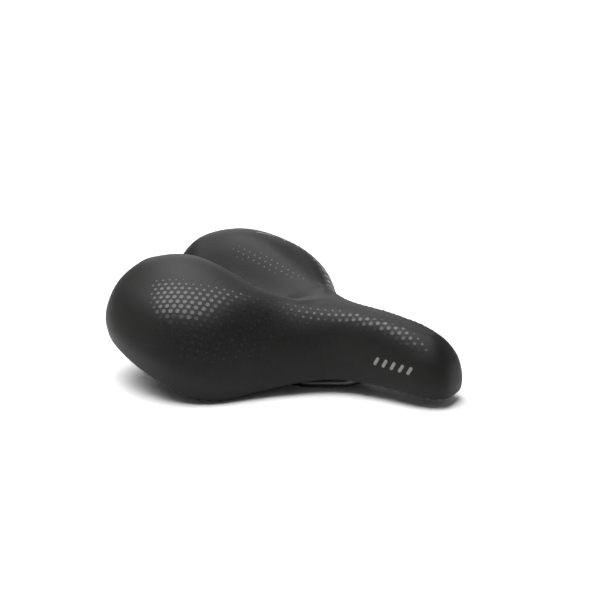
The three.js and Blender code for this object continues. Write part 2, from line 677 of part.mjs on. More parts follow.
const endPadRadius = BRIDGE_HALF_DEPTH + CLEARANCE * 10;
const lipThickness = STRAP_WALL;
const lipHalfWidth = damperY - DAMPER_RADIUS - 2 * lipThickness;
const bridgeBar = new THREE.Shape([
  new THREE.Vector2(-BRIDGE_HALF_DEPTH, -damperY),
  new THREE.Vector2(BRIDGE_HALF_DEPTH, -damperY),
  new THREE.Vector2(BRIDGE_HALF_DEPTH, damperY),
  new THREE.Vector2(-BRIDGE_HALF_DEPTH, damperY),
]);
const bridge = join([
  plate(bridgeBar, BRIDGE_RISE, bridgeTop),
  ...SIDES.map(([, side]) => bar(
    'z',
    [0, side * damperY, (BRIDGE_RISE + bridgeTop) / 2],
    endPadRadius,
    BRIDGE_THICKNESS,
    ROUND_SIDES,
  )),
  ...[-1, 1].map((end) => {
    const face = end * BRIDGE_HALF_DEPTH;
    const inside = face - end * lipThickness;
    return block(
      [Math.min(face, inside), -lipHalfWidth, BRIDGE_RISE + CLEARANCE],
      [Math.max(face, inside), lipHalfWidth, bridgeTop + BRIDGE_LIP],
    );
  }),
]);
const bridgeHoles = [
  ...SIDES.map(([, side]) => bar(
    'z',
    [0, side * damperY, BRIDGE_RISE],
    bushRadius + CLEARANCE,
    4 * BRIDGE_THICKNESS,
    ROUND_SIDES,
    true,
  )),
  ...rivetPlaces.map(([, y]) => bar(
    'z',
    [0, y, BRIDGE_RISE],
    RIVET_DIAMETER / 2 + CLEARANCE,
    4 * BRIDGE_THICKNESS,
    SMALL_SIDES,
    true,
  )),
];
piece(undercarriage, 'rear_bridge', cut(bridge, bridgeHoles), RAIL_FINISH, [damperX, 0, 0]);

// ---- Straps and rivets that hold the rails to the bridge -------------------------------------

const footTop = BRIDGE_RISE - CLEARANCE;
for (const [side, sign] of SIDES) {
  const saddleRound = bar('x', [0, 0, railRearZ], strapOuter, STRAP_LENGTH);
  const cheeks = block([-STRAP_LENGTH / 2, -strapOuter, railRearZ], [STRAP_LENGTH / 2, strapOuter, footTop]);
  const footHalfWidth = rivetY + STRAP_FOOT / 2;
  const feet = block(
    [-STRAP_LENGTH / 2, -footHalfWidth, footTop - STRAP_WALL],
    [STRAP_LENGTH / 2, footHalfWidth, footTop],
  );
  const channel = bar('x', [0, 0, railRearZ], strapInner, 2 * STRAP_LENGTH, ROUND_SIDES, true);
  const mouth = block([-STRAP_LENGTH, -strapInner, railRearZ], [STRAP_LENGTH, strapInner, bridgeTop]);
  const aboveFeet = block([-STRAP_LENGTH, -strapOuter, footTop], [STRAP_LENGTH, strapOuter, 2 * bridgeTop]);
  const rivetHoles = [-1, 1].map((end) => bar(
    'z',
    [0, end * rivetY, footTop],
    RIVET_DIAMETER / 2 + CLEARANCE,
    4 * STRAP_WALL,
    SMALL_SIDES,
    true,
  ));
  const strap = cut(join([saddleRound, cheeks, feet]), [channel, mouth, aboveFeet, ...rivetHoles]);
  piece(undercarriage, `rail_strap_${side}`, strap, ZINC_FINISH, [damperX, (sign * RAIL_REAR_SPACING) / 2, 0]);
}

const rivetBottom = footTop - STRAP_WALL - CLEARANCE - RIVET_HEAD_HEIGHT;
const rivetTop = bridgeTop + CLEARANCE + RIVET_HEAD_HEIGHT;
const rivetCrown = RIVET_HEAD_RADIUS * 0.7;
const rivetBody = turned([
  [0, rivetBottom],
  [rivetCrown, rivetBottom],
  [RIVET_HEAD_RADIUS, rivetBottom + RIVET_HEAD_HEIGHT * 0.6],
  [RIVET_HEAD_RADIUS, rivetBottom + RIVET_HEAD_HEIGHT],
  [RIVET_DIAMETER / 2, rivetBottom + RIVET_HEAD_HEIGHT],
  [RIVET_DIAMETER / 2, rivetTop - RIVET_HEAD_HEIGHT],
  [RIVET_HEAD_RADIUS, rivetTop - RIVET_HEAD_HEIGHT],
  [RIVET_HEAD_RADIUS, rivetTop - RIVET_HEAD_HEIGHT * 0.6],
  [rivetCrown, rivetTop],
  [0, rivetTop],
], SMALL_SIDES);
for (const [place, y] of rivetPlaces) {
  piece(undercarriage, `strap_rivet_${place}`, rivetBody, ZINC_FINISH, [damperX, y, 0]);
}

// ---- Dampers, bushes and bolts ---------------------------------------------------------------

const damperBottom = bridgeTop + CLEARANCE;
const damperHeight = bossBottom - CLEARANCE - damperBottom;
const damperBore = bushBore;
const WAISTS = 2;
const damperOutline = [[damperBore, 0]];
for (let i = 0; i <= WAISTS; i += 1) {
  const start = (i / (WAISTS + 1)) * damperHeight;
  const bulge = damperHeight / (WAISTS + 1);
  damperOutline.push([DAMPER_RADIUS * 0.86, start]);
  damperOutline.push([DAMPER_RADIUS, start + bulge * 0.3]);
  damperOutline.push([DAMPER_RADIUS, start + bulge * 0.7]);
}
damperOutline.push([DAMPER_RADIUS * 0.86, damperHeight]);
damperOutline.push([damperBore, damperHeight]);
const damperBody = turned(damperOutline);

const bushBody = turned([
  [bushBore, BRIDGE_RISE - CLEARANCE - BUSH_FLANGE],
  [bushRadius + 2 * BUSH_WALL, BRIDGE_RISE - CLEARANCE - BUSH_FLANGE],
  [bushRadius + 2 * BUSH_WALL, BRIDGE_RISE - CLEARANCE],
  [bushRadius, BRIDGE_RISE - CLEARANCE],
  [bushRadius, bridgeTop - CLEARANCE / 3],
  [bushBore, bridgeTop - CLEARANCE / 3],
]);
const washerBody = turned([
  [boltRadius + CLEARANCE, washerTop - WASHER_THICKNESS],
  [bushRadius + BUSH_WALL, washerTop - WASHER_THICKNESS],
  [bushRadius + BUSH_WALL, washerTop],
  [boltRadius + CLEARANCE, washerTop],
]);
const insertInner = boltRadius + CLEARANCE;
const insertOuter = insertInner + INSERT_WALL;
const insertBody = turned([
  [insertInner, bossBottom],
  [insertOuter, bossBottom],
  [insertOuter, bossBottom + INSERT_LENGTH * 0.4],
  [insertOuter - INSERT_WALL / 4, bossBottom + INSERT_LENGTH * 0.45],
  [insertOuter - INSERT_WALL / 4, bossBottom + INSERT_LENGTH * 0.55],
  [insertOuter, bossBottom + INSERT_LENGTH * 0.6],
  [insertOuter, bossBottom + INSERT_LENGTH],
  [insertInner, bossBottom + INSERT_LENGTH],
], SMALL_SIDES);
const boltTop = bossBottom + INSERT_LENGTH - CLEARANCE;
const boltBody = join([
  bar('z', [0, 0, (boltTop + headTop - HEAD_HEIGHT) / 2], boltRadius, boltTop - headTop + HEAD_HEIGHT, SMALL_SIDES),
  bar('z', [0, 0, headTop - HEAD_HEIGHT / 2], HEAD_RADIUS, HEAD_HEIGHT, 6),
  bar('z', [0, 0, headTop - WASHER_THICKNESS / 2], HEAD_RADIUS + WASHER_THICKNESS, WASHER_THICKNESS),
]);
for (const [side, sign] of SIDES) {
  const y = sign * damperY;
  piece(undercarriage, `damper_${side}`, damperBody, RUBBER_FINISH, [damperX, y, damperBottom]);
  piece(undercarriage, `guide_bush_${side}`, bushBody, NYLON_FINISH, [damperX, y, 0]);
  piece(seat, `bolt_washer_${side}`, washerBody, ZINC_FINISH, [damperX, y, 0]);
  piece(seat, `shell_insert_${side}`, insertBody, BRASS_FINISH, [damperX, y, 0]);
  piece(seat, `damper_bolt_${side}`, boltBody, ZINC_FINISH, [damperX, y, 0]);
}

export default saddle;
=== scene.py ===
"""Looks for a wide comfort bicycle saddle: padded skin, glossy dot fields, shell, rails and dampers."""

import json
import logging
import math
from dataclasses import dataclass, field
from enum import Enum
from typing import Optional, Sequence, Union

import bmesh
import bpy
import numpy as np
from mathutils import Matrix, Vector
from mathutils.bvhtree import BVHTree

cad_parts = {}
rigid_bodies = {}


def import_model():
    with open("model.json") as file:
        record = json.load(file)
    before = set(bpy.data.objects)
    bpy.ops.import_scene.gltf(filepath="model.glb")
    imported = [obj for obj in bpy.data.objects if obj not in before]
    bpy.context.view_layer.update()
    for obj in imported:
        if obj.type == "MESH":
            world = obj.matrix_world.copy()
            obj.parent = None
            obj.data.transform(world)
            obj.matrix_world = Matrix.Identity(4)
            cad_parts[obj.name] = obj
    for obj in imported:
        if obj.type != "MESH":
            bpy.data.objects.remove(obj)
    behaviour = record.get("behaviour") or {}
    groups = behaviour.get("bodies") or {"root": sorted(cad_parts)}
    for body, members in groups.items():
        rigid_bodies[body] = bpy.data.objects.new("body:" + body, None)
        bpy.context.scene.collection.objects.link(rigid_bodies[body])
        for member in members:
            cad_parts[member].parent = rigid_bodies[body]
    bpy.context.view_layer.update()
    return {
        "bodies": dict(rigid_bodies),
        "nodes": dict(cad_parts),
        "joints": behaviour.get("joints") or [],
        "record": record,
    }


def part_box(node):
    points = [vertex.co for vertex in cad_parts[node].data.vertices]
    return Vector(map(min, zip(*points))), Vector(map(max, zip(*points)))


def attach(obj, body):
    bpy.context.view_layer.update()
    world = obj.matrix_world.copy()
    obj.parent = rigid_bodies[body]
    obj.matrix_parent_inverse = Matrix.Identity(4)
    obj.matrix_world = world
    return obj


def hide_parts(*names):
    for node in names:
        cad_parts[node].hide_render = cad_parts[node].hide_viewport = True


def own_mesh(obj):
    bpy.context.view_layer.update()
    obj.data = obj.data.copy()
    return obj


LOG = logging.getLogger("saddle")
MM = 0.001
Colour = tuple[float, float, float]
Stations = Sequence[tuple[float, float]]


class Side(Enum):
    """The two sides of the saddle, by the sign of Y."""

    LEFT = 1
    RIGHT = -1

    @property
    def word(self) -> str:
        """The side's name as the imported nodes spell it."""
        return self.name.lower()


# ---- Shader maths --------------------------------------------------------------------------------


class Wire:
    """A shader value that can be used in Python arithmetic."""

    def __init__(self, shader: "Shader", socket: bpy.types.NodeSocket) -> None:
        """Wraps one output socket of a shader's node tree."""
        self.shader = shader
        self.socket = socket

    def _maths(self, operation: str, *values: "Value") -> "Wire":
        """Adds one Math node and returns its result."""
        return self.shader.node("ShaderNodeMath", {"operation": operation}, dict(enumerate(values)))

    def __add__(self, other: "Value") -> "Wire":
        """Sum."""
        return self._maths("ADD", self, other)

    def __sub__(self, other: "Value") -> "Wire":
        """Difference."""
        return self._maths("SUBTRACT", self, other)

    def __mul__(self, other: "Value") -> "Wire":
        """Product."""
        return self._maths("MULTIPLY", self, other)

    def spread(self, low: float, high: float, to_low: float = 0.0, to_high: float = 1.0) -> "Wire":
        """Maps low..high onto to_low..to_high, clamped at both ends.

        Args:
            low: The value that becomes to_low.
            high: The value that becomes to_high.
            to_low: The result at low.
            to_high: The result at high.

        Returns:
            The mapped value.
        """
        sockets = {"Value": self, "From Min": low, "From Max": high, "To Min": to_low, "To Max": to_high}
        return self.shader.node("ShaderNodeMapRange", {}, sockets)


Value = Union[Wire, float, int]


class Shader:
    """A material's node tree with one Principled surface."""

    def __init__(self, name: str, constants: dict[str, object]) -> None:
        """Starts a material.

        Args:
            name: The material's name.
            constants: Values for the Principled shader's own sockets.
        """
        self.material = bpy.data.materials.new(name)
        self.material.use_nodes = True
        self.tree = self.material.node_tree
        self.surface = next(n for n in self.tree.nodes if n.type == "BSDF_PRINCIPLED")
        for socket, value in constants.items():
            self.surface.inputs[socket].default_value = value

    def node(
        self,
        kind: str,
        settings: dict[str, object],
        sockets: dict[Union[str, int], object],
        output: Union[str, int] = 0,
    ) -> Wire:
        """Adds a node and gives it its settings, then its sockets.

        Args:
            kind: The node's type.
            settings: Attributes of the node.
            sockets: Values, or wires to link, for the input sockets.
            output: The output socket to return.

        Returns:
            The chosen output as a wire.
        """
        made = self.tree.nodes.new(kind)
        for key, value in settings.items():
            setattr(made, key, value)
        for key, value in sockets.items():
            if isinstance(value, Wire):
                self.tree.links.new(value.socket, made.inputs[key])
            else:
                made.inputs[key].default_value = value
        return Wire(self, made.outputs[output])

    def feed(self, socket: str, wire: Wire) -> None:
        """Links a wire to one of the surface's sockets."""
        self.tree.links.new(wire.socket, self.surface.inputs[socket])

    def place(self, scale: Union[float, Sequence[float]] = 1.0) -> Wire:
        """Object coordinates times a scale."""
        position = self.node("ShaderNodeTexCoord", {}, {}, "Object")
        factors = (scale,) * 3 if isinstance(scale, (int, float)) else tuple(scale)
        sockets = {"Vector": position, "Scale": factors}
        return self.node("ShaderNodeMapping", {"vector_type": "POINT"}, sockets)

    def noise(
        self, scale: float, detail: float = 3.0, roughness: float = 0.5, stretch: Sequence[float] = (1, 1, 1)
    ) -> Wire:
        """A noise value around 0.5, with `scale` cells to the metre."""
        sockets = {"Vector": self.place(stretch), "Scale": scale, "Detail": detail, "Roughness": roughness}
        return self.node("ShaderNodeTexNoise", {}, sockets)

    def cells(self, scale: float, feature: str = "F1", smooth: float = 0.6) -> Wire:
        """Distance to the cells of a Voronoi pattern with `scale` cells to the metre."""
        sockets: dict[Union[str, int], object] = {"Vector": self.place(), "Scale": scale}
        if feature == "SMOOTH_F1":
            sockets["Smoothness"] = smooth
        return self.node("ShaderNodeTexVoronoi", {"feature": feature}, sockets, "Distance")

    def blend(self, factor: Value, first: object, second: object) -> Wire:
        """A mix of two colours by a factor."""
        colours = [(*c, 1.0) if isinstance(c, tuple) and len(c) == 3 else c for c in (first, second)]
        made = self.tree.nodes.new("ShaderNodeMix")
        made.data_type = "RGBA"
        made.blend_type = "MIX"
        for socket, value in zip((made.inputs[0], made.inputs[6], made.inputs[7]), (factor, *colours)):
            if isinstance(value, Wire):
                self.tree.links.new(value.socket, socket)
            else:
                socket.default_value = value
        return Wire(self, made.outputs[2])

    def emboss(self, height: Wire, depth: float, distance: float = 0.001) -> None:
        """Feeds the surface's normal from a height, `distance` metres deep at full strength."""
        sockets = {"Strength": depth, "Distance": distance, "Height": height}
        self.feed("Normal", self.node("ShaderNodeBump", {}, sockets, "Normal"))


# ---- Finishes ------------------------------------------------------------------------------------


@dataclass(frozen=True)
class MatteSkin:
    """Soft black synthetic leather with a fine pored grain."""

    slot: str = "skin"
    dark: Colour = (0.0036, 0.0036, 0.0034)
    light: Colour = (0.0062, 0.0061, 0.0057)
    roughness: float = 0.54
    grain: float = 1300.0
    depth: float = 0.16

    def material(self) -> bpy.types.Material:
        """The skin's material: cloudy tone, uneven sheen and a pored grain."""
        shader = Shader("matte_skin", {"IOR": 1.48, "Specular IOR Level": 0.26})
        clouds = shader.noise(16.0, 3.0, 0.55)
        grain = shader.noise(self.grain, 4.0, 0.65)
        pores = shader.cells(self.grain * 0.8, "SMOOTH_F1")
        shader.feed("Base Color", shader.blend(clouds.spread(0.35, 0.65), self.dark, self.light))
        sheen = clouds.spread(0.3, 0.7, -0.035, 0.035)
        shader.feed("Roughness", grain.spread(0.3, 0.7, self.roughness - 0.04, self.roughness + 0.05) + sheen)
        shader.emboss(pores * 0.6 + grain * 0.4, self.depth, 0.0005)
        return shader.material


@dataclass(frozen=True)
class GlossDot:
    """The glossy black of the raised dots."""

    slot: str = "skin"
    base: Colour = (0.006, 0.006, 0.006)
    worn: Colour = (0.012, 0.012, 0.0118)
    roughness: float = 0.3

    def material(self) -> bpy.types.Material:
        """The dots' material: a hard gloss with a slight haze."""
        shader = Shader("gloss_dots", {"IOR": 1.5, "Specular IOR Level": 0.42, "Coat Weight": 0.1})
        haze = shader.noise(420.0, 3.0, 0.6)
        shader.feed("Base Color", shader.blend(haze.spread(0.35, 0.7), self.base, self.worn))
        shader.feed("Roughness", haze.spread(0.3, 0.7, self.roughness - 0.04, self.roughness + 0.09))
        shader.emboss(haze, 0.05, 0.0003)
        return shader.material


@dataclass(frozen=True)
class FlatPrint:
    """A thin printed colour on the skin."""

    name: str
    ink: Colour
    slot: str = "skin"
    roughness: float = 0.42

    def material(self) -> bpy.types.Material:
        """The print's material: ink with a faint speckle where the grain shows through."""
        shader = Shader(self.name, {"IOR": 1.46})
        speckle = shader.noise(2200.0, 3.0, 0.7)
        thin = tuple(0.72 * c for c in self.ink)
        shader.feed("Base Color", shader.blend(speckle.spread(0.42, 0.7), self.ink, thin))
        shader.feed("Roughness", speckle.spread(0.3, 0.7, self.roughness - 0.05, self.roughness + 0.1))
        shader.emboss(speckle, 0.12, 0.0003)
        return shader.material


@dataclass(frozen=True)
class MouldedPlastic:
    """Black or white plastic straight from the mould, with a spark-eroded texture."""

    name: str
    slot: str
    base: Colour
    rubbed: Colour
    roughness: float = 0.52
    texture: float = 2600.0

    def material(self) -> bpy.types.Material:
        """The plastic's material: fine texture, flow shading and slight scuffs."""
        shader = Shader(self.name, {"IOR": 1.49})
        flow = shader.noise(38.0, 4.0, 0.6, (0.5, 1.0, 1.0))
        texture = shader.noise(self.texture, 3.0, 0.6)
        scuffs = shader.noise(150.0, 6.0, 0.75, (0.25, 1.0, 1.0)).spread(0.6, 0.72)
        tone = shader.blend(flow.spread(0.3, 0.7, 0.0, 0.55) + scuffs * 0.3, self.base, self.rubbed)
        shader.feed("Base Color", tone)
        rough = texture.spread(0.3, 0.7, self.roughness - 0.06, self.roughness + 0.06)
        shader.feed("Roughness", rough - scuffs * 0.08)
        shader.emboss(texture + flow * 0.3, 0.22, 0.0004)
        return shader.material


@dataclass(frozen=True)
class PaintedSteel:
    """Gloss black powder coat with its slight orange peel."""

    slot: str = "painted_steel"
    base: Colour = (0.0085, 0.0085, 0.009)
    dusty: Colour = (0.03, 0.029, 0.028)
    roughness: float = 0.26

    def material(self) -> bpy.types.Material:
        """The coat's material: gloss, orange peel and a little dust."""
        shader = Shader("painted_steel", {"IOR": 1.5, "Coat Weight": 0.45, "Coat Roughness": 0.1})
        dust = shader.noise(60.0, 5.0, 0.65).spread(0.48, 0.75)
        peel = shader.noise(640.0, 2.0, 0.5)
        shader.feed("Base Color", shader.blend(dust * 0.5, self.base, self.dusty))
        sheen = peel.spread(0.3, 0.7, self.roughness - 0.05, self.roughness + 0.05)
        shader.feed("Roughness", dust * 0.2 + sheen)
        shader.emboss(peel, 0.12, 0.0006)
        return shader.material


@dataclass(frozen=True)
class DamperRubber:
    """Dense black rubber with a dull bloom."""

    slot: str = "damper_rubber"
    base: Colour = (0.017, 0.0175, 0.0185)
    bloom: Colour = (0.04, 0.041, 0.042)
    roughness: float = 0.78

    def material(self) -> bpy.types.Material:
        """The rubber's material: bloom, fine pits and a soft sheen."""
        shader = Shader("damper_rubber", {"IOR": 1.52})
        bloom = shader.noise(90.0, 4.0, 0.65)
        pits = shader.cells(1500.0, "SMOOTH_F1")
        shader.feed("Base Color", shader.blend(bloom.spread(0.4, 0.75), self.base, self.bloom))
        shader.feed("Roughness", bloom.spread(0.3, 0.7, self.roughness - 0.08, self.roughness + 0.08))
        shader.emboss(pits + bloom * 0.5, 0.2, 0.0005)
        return shader.material


@dataclass(frozen=True)
class PlainMetal:
    """Bare or plated metal with drawn or turned streaks."""

    name: str
    slot: str
    base: Colour
    tarnish: Colour
    roughness: float = 0.33
    streaks: tuple[float, float, float] = (0.15, 1.0, 1.0)

    def material(self) -> bpy.types.Material:
        """The metal's material: streaks in the sheen, clouded plating and a fine tooth."""
        shader = Shader(self.name, {"Metallic": 1.0})
        clouds = shader.noise(120.0, 4.0, 0.6)
        streak = shader.noise(2400.0, 3.0, 0.6, self.streaks)
        shader.feed("Base Color", shader.blend(clouds.spread(0.4, 0.75), self.base, self.tarnish))
        rough = streak.spread(0.3, 0.7, self.roughness - 0.07, self.roughness + 0.1)
        shader.feed("Roughness", rough + clouds.spread(0.45, 0.8, 0.0, 0.12))
        shader.emboss(streak, 0.1, 0.0003)
        return shader.material


# ---- Mesh tools ----------------------------------------------------------------------------------


def at_station(table: Stations, station: float) -> float:
    """A value read from [station, value] pairs, straight between them and level past the ends."""
    return float(np.interp(station, [s for s, _ in table], [v for _, v in table]))


def merged(frame: dict, *nodes: str) -> bmesh.types.BMesh:
    """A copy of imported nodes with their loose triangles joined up.

    Args:
        *nodes: The nodes to copy into one bmesh.

    Returns:
        The joined mesh.
    """
    bm = bmesh.new()
    for node in nodes:
        bm.from_mesh(frame["nodes"][node].data)
    bmesh.ops.remove_doubles(bm, verts=bm.verts, dist=1e-6)
    return bm


def object_from(bm: bmesh.types.BMesh, name: str, crease: float = 40.0) -> bpy.types.Object:
    """Makes a smooth-shaded object from a bmesh, sharp along edges turned by more than `crease` degrees."""
    limit = math.radians(crease)
    for face in bm.faces:
        face.smooth = True
    for edge in bm.edges:
        edge.smooth = not (len(edge.link_faces) == 2 and edge.calc_face_angle(0.0) > limit)
    mesh = bpy.data.meshes.new(name)
    bm.to_mesh(mesh)
    bm.free()
    made = bpy.data.objects.new(name, mesh)
    bpy.context.scene.collection.objects.link(made)
    return made


def baked(obj: bpy.types.Object) -> bmesh.types.BMesh:
    """The object's mesh with its modifiers applied, as a bmesh."""
    graph = bpy.context.evaluated_depsgraph_get()
    flat = bpy.data.meshes.new_from_object(obj.evaluated_get(graph))
    bm = bmesh.new()
    bm.from_mesh(flat)
    bpy.data.meshes.remove(flat)
    return bm


def discard(obj: bpy.types.Object) -> None:
    """Removes a helper object and its mesh."""
    mesh = obj.data
    bpy.data.objects.remove(obj)
    bpy.data.meshes.remove(mesh)


def refined(bm: bmesh.types.BMesh, levels: int) -> bmesh.types.BMesh:
    """The mesh after `levels` of Catmull-Clark subdivision."""
    helper = object_from(bm, "refining")
    modifier = helper.modifiers.new("refine", "SUBSURF")
    modifier.levels = levels
    modifier.render_levels = levels
    result = baked(helper)
    discard(helper)
    return result


def largest_island(bm: bmesh.types.BMesh) -> set[bmesh.types.BMFace]:
    """The biggest set of faces that are joined by edges."""
    best: set[bmesh.types.BMFace] = set()
    unseen = set(bm.faces)
    while unseen:
        front = [unseen.pop()]
        island = set(front)
        while front:
            face = front.pop()
            near = {f for edge in face.edges for f in edge.link_faces} & unseen
            unseen -= near
            island |= near
            front.extend(near)
        if len(island) > len(best):
            best = island
    return best


def rim_loop(bm: bmesh.types.BMesh) -> list[bmesh.types.BMVert]:
    """The vertices of an open mesh's boundary, in order."""
    first = next(edge for edge in bm.edges if edge.is_boundary)
    loop = [first.verts[0], first.verts[1]]
    while True:
        here, before = loop[-1], loop[-2]
        ends = [edge.other_vert(here) for edge in here.link_edges if edge.is_boundary]
        onward = [end for end in ends if end is not before]
        if onward[0] is loop[0]:
            return loop
        loop.append(onward[0])


@dataclass
class Fitted:
    """What every finished piece is given: a body to ride on and the nodes it stands for."""

    frame: dict
    materials: dict[str, bpy.types.Material] = field(default_factory=dict)

    def dress(
        self,
        obj: bpy.types.Object,
        finish: object,
        body: str,
        nodes: Sequence[str] = (),
    ) -> bpy.types.Object:
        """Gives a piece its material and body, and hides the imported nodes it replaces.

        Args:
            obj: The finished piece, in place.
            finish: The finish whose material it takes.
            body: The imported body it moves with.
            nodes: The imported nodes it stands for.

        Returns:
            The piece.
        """
        key = repr(finish)
        if key not in self.materials:
            self.materials[key] = finish.material()
        obj.data.materials.clear()
        obj.data.materials.append(self.materials[key])
        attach(obj, body)
        if nodes:
            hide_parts(*nodes)
        LOG.info("%s rides on %s, %d faces", obj.name, body, len(obj.data.polygons))
        return obj


# ---- The padded cover ----------------------------------------------------------------------------


@dataclass
class PaddedCover(Fitted):
    """The one-piece skin over its foam, swollen a little, with its hem folded under the shell's brim.

    `hem_widths` gives the hem's width in mm at stations from the tail (-1) to the nose (1). `hem_fold` gives
    the fold's corners as shares of that width and of `hem_lift`. `middle_line` is the stretch of X that the
    hem turns towards, and `probe` is how far out from a face another piece still counts as covering it.
    """

    half_length: float = 131 * MM
    probe: float = 2.5 * MM
    hem_widths: Stations = ((-1.0, 10.4), (0.0, 9.4), (0.35, 5.4), (1.0, 5.4))
    hem_lift: float = 1.4 * MM
    hem_fold: Stations = ((0.14, 0.0), (0.95, 0.0), (1.0, 0.45), (0.95, 1.0), (0.4, 1.0))
    middle_line: tuple[float, float] = (-0.075, 0.108)
    slack: float = 0.3 * MM
    swell_limit: float = 1.1 * MM
    pressure: float = 9.0
    last_frame: int = 20
    pinned_rows: float = 5.0 * MM

    def build(self) -> bpy.types.Object:
        """Makes the cover and hides the plain skin and foam it stands for."""
        cage = self._outer_face()
        self._fold_hem(cage)
        self._tighten(cage)
        shape = refined(cage, 2)
        obj = object_from(shape, "padded_cover", 180.0)
        self._swell(obj)
        finished = refined(baked(obj), 1)
        discard(obj)
        obj = object_from(finished, "padded_cover", 180.0)
        self.dress(obj, MatteSkin(), "seat", ("cover_skin", "foam_pad"))
        return obj

    def _outer_face(self) -> bmesh.types.BMesh:
        """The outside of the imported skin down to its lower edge, as quads."""
        bm = merged(self.frame, "cover_skin")
        inside = merged(self.frame, "foam_pad", "base_shell")
        tree = BVHTree.FromBMesh(inside)
        inside.free()
        bm.normal_update()
        doomed = []
        for face in bm.faces:
            start = face.calc_center_median() + face.normal * (0.02 * MM)
            backed = tree.ray_cast(start, face.normal, self.probe)[0] is not None
            if backed or face.normal.z < -0.9:
                doomed.append(face)
        bmesh.ops.delete(bm, geom=doomed, context="FACES")
        keep = largest_island(bm)
        bmesh.ops.delete(bm, geom=[f for f in bm.faces if f not in keep], context="FACES")
        bmesh.ops.join_triangles(
            bm, faces=bm.faces[:], angle_face_threshold=math.pi, angle_shape_threshold=math.pi
        )
        return bm

    def _fold_hem(self, bm: bmesh.types.BMesh) -> None:
        """Turns the lower edge inwards and back on itself, as a strip of even width."""
        loop = rim_loop(bm)
        count = len(loop)
        base = [v.co.copy() for v in loop]
        inward = []
        for i in range(count):
            along = base[(i + 1) % count] - base[i - 1]
            across = Vector((-along.y, along.x, 0.0)).normalized()
            middle = min(max(base[i].x, self.middle_line[0]), self.middle_line[1])
            towards = Vector((middle, 0.0, base[i].z)) - base[i]
            inward.append(across if across.dot(towards) > 0 else -across)
        widths = [at_station(self.hem_widths, p.x / self.half_length) * MM for p in base]
        place = {v: i for i, v in enumerate(loop)}
        edges = [edge for edge in bm.edges if edge.is_boundary]
        for share, lift in self.hem_fold:
            grown = bmesh.ops.extrude_edge_only(bm, edges=edges)["geom"]
            fresh = [g for g in grown if isinstance(g, bmesh.types.BMVert)]
            onward = {}
            for vert in fresh:
                i = next(place[e.other_vert(vert)] for e in vert.link_edges if e.other_vert(vert) in place)
                vert.co = base[i] + inward[i] * (widths[i] * share) + Vector((0, 0, self.hem_lift * lift))
                onward[vert] = i
            place = onward
            edges = [g for g in grown if isinstance(g, bmesh.types.BMEdge) and g.is_boundary]
        bmesh.ops.recalc_face_normals(bm, faces=bm.faces[:])
        highest = max(bm.faces, key=lambda f: f.calc_center_median().z)
        if highest.normal.z < 0:
            bmesh.ops.reverse_faces(bm, faces=bm.faces[:])

    @staticmethod
    def _tighten(cage: bmesh.types.BMesh) -> None:
        """Moves the cage out until its smooth surface runs through where its corners were."""
        goals = [vert.co.copy() for vert in cage.verts]
        for _ in range(3):
            smooth = refined(cage.copy(), 2)
            tree = BVHTree.FromBMesh(smooth)
            smooth.free()
            for vert, goal in zip(cage.verts, goals):
                vert.co += goal - tree.find_nearest(goal)[0]

    def _swell(self, obj: bpy.types.Object) -> None:
        """Lets the skin swell against its foam by cloth simulation, within a small limit."""
        mesh = obj.data
        rest = np.array([v.co[:] for v in mesh.vertices])
        normals = np.array([v.normal[:] for v in mesh.vertices])
        underside = self._depth_above_rim(mesh)
        free = np.clip(underside / self.pinned_rows, 0.0, 1.0)
        start = rest - normals * (self.slack * free)[:, None]
        mesh.vertices.foreach_set("co", start.ravel())
        pins = obj.vertex_groups.new(name="pins")
        for i, share in enumerate(free):
            pins.add([i], float(1.0 - 0.95 * share), "REPLACE")
        cloth = obj.modifiers.new("swell", "CLOTH")
        cloth.settings.quality = 5
        cloth.settings.mass = 0.35
        cloth.settings.tension_stiffness = 30
        cloth.settings.compression_stiffness = 30
        cloth.settings.bending_stiffness = 8
        cloth.settings.use_pressure = True
        cloth.settings.uniform_pressure_force = self.pressure
        cloth.settings.vertex_group_mass = pins.name
        cloth.settings.effector_weights.gravity = 0
        cloth.point_cache.frame_start = 1
        cloth.point_cache.frame_end = self.last_frame
        scene = bpy.context.scene
        for step in range(1, self.last_frame + 1):
            scene.frame_set(step)
        graph = bpy.context.evaluated_depsgraph_get()
        moved = np.array([v.co[:] for v in obj.evaluated_get(graph).data.vertices])
        obj.modifiers.remove(cloth)
        scene.frame_set(1)
        shift = moved - start
        reach = np.linalg.norm(shift, axis=1)
        LOG.info("swell: median %.2f mm, most %.2f mm", 1000 * np.median(reach), 1000 * reach.max())
        scale = np.minimum(1.0, self.swell_limit / np.maximum(reach, 1e-9)) * free
        mesh.vertices.foreach_set("co", (start + shift * scale[:, None]).ravel())
        mesh.update()

    def _depth_above_rim(self, mesh: bpy.types.Mesh) -> np.ndarray:
        """How far each vertex lies above the hem's own level at its station, never below 0."""
        places = np.array([v.co[:] for v in mesh.vertices])
        facing_down = np.array([v.normal.z for v in mesh.vertices]) < -0.75
        hem = places[facing_down & (places[:, 2] < 0.045)]
        levels = np.full(len(places), 1.0)
        for low in range(0, len(places), 2000):
            part = places[low:low + 2000]
            near = ((part[:, None, :2] - hem[None, :, :2]) ** 2).sum(2).argmin(1)
            levels[low:low + 2000] = hem[near, 2]
        return np.maximum(places[:, 2] - levels - 1.5 * MM, 0.0)


# ---- Dot fields and printed marks ----------------------------------------------------------------


